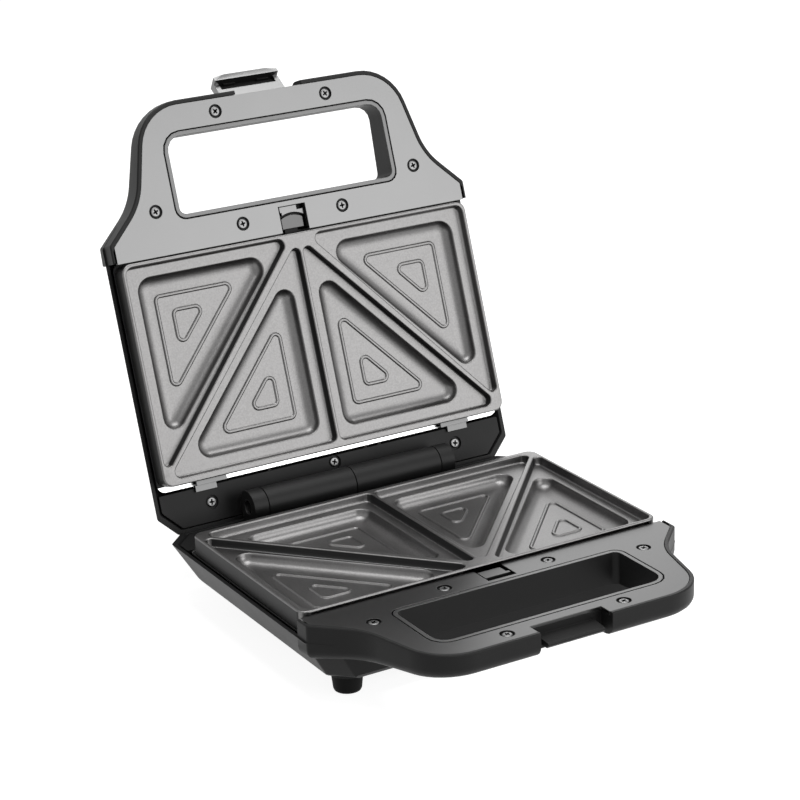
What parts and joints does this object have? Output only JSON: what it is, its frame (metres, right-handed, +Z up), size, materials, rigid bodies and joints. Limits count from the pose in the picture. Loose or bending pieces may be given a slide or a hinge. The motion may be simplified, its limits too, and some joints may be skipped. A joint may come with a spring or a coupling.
{
  "type": "sandwich toaster",
  "caption": "Electric sandwich toaster with a hinged lid, triangle plates, loop handles and a front latch, shown open.",
  "frame": {"origin": "on the table under the middle of the open toaster's bounding box, halfway across its width", "axes": "+Z up, +Y from the handles towards the hinge, +X to the right of a user who stands at the handles"},
  "size_m": [0.245, 0.3654, 0.2822],
  "materials": {
    "black_plastic": "satin",
    "base_cover_grey": "satin",
    "lid_cover_grey": "satin",
    "plate_coating": "satin non-stick coating on cast aluminium",
    "reflector_metal": "bright",
    "steel": "bright",
    "element_steel": "dull",
    "button_grey": "satin",
    "latch_silver": "satin silver",
    "foot_rubber": "matt",
    "ceramic_cream": "matt",
    "wire_sleeve": "matt",
    "red_lens": "clear",
    "green_lens": "clear",
    "lamp_glass": "clear"
  },
  "bodies": {
    "base": {"base_shell": "black_plastic", "base_handle_cover": "base_cover_grey", "base_rear_cover": "black_plastic", "base_cover_screws": "steel", "lower_plate": "plate_coating", "lower_plate_clips": "steel", "lower_reflector_tray": "reflector_metal", "lower_tray_screws": "steel", "lower_heating_element": "element_steel", "lower_element_saddles": "steel", "lower_button_spring": "steel", "thermostat": "ceramic_cream", "thermal_fuse": "ceramic_cream", "terminal_block": "ceramic_cream", "base_wires": "wire_sleeve", "cord_gland": "foot_rubber", "front_left_foot": "foot_rubber", "front_right_foot": "foot_rubber", "rear_left_foot": "foot_rubber", "rear_right_foot": "foot_rubber", "foot_screws": "steel", "hinge_tube": "steel", "hinge_lead": "wire_sleeve"},
    "lid": {"lid_shell": "black_plastic", "lid_handle_cover": "lid_cover_grey", "lid_rear_cover": "black_plastic", "lid_cover_screws": "steel", "upper_plate": "plate_coating", "upper_plate_clips": "steel", "upper_reflector_tray": "reflector_metal", "upper_tray_screws": "steel", "upper_heating_element": "element_steel", "upper_element_saddles": "steel", "upper_button_spring": "steel", "lid_wires": "wire_sleeve", "power_lens": "red_lens", "ready_lens": "green_lens", "power_lamp": "lamp_glass", "ready_lamp": "lamp_glass", "latch_pin": "steel"},
    "latch_body": {"latch": "latch_silver"},
    "lower_button": {"lower_release_button": "button_grey"},
    "upper_button": {"upper_release_button": "button_grey"}
  },
  "joints": [
    {"name": "lid_hinge", "type": "hinge", "parent": "base", "child": "lid", "pos_m": [0, 0.063, 0.0479], "axis": [1, 0, 0], "range_deg": [0, 108.8]},
    {"name": "latch_pivot", "type": "hinge", "parent": "lid", "child": "latch_body", "pos_m": [0, 0.15179, 0.26961], "axis": [1, 0, 0], "range_deg": [0, 131]},
    {"name": "lower_release_slide", "type": "slide", "parent": "base", "child": "lower_button", "axis": [0, -1, 0], "range_m": [0, 0.003], "stiffness_N_per_m": 700, "springref_m": -0.003, "deforming": ["lower_button_spring"]},
    {"name": "upper_release_slide", "type": "slide", "parent": "lid", "child": "upper_button", "axis": [0, 0.3223, 0.9466], "range_m": [0, 0.003], "stiffness_N_per_m": 700, "springref_m": -0.003, "deforming": ["upper_button_spring"]}
  ]
}
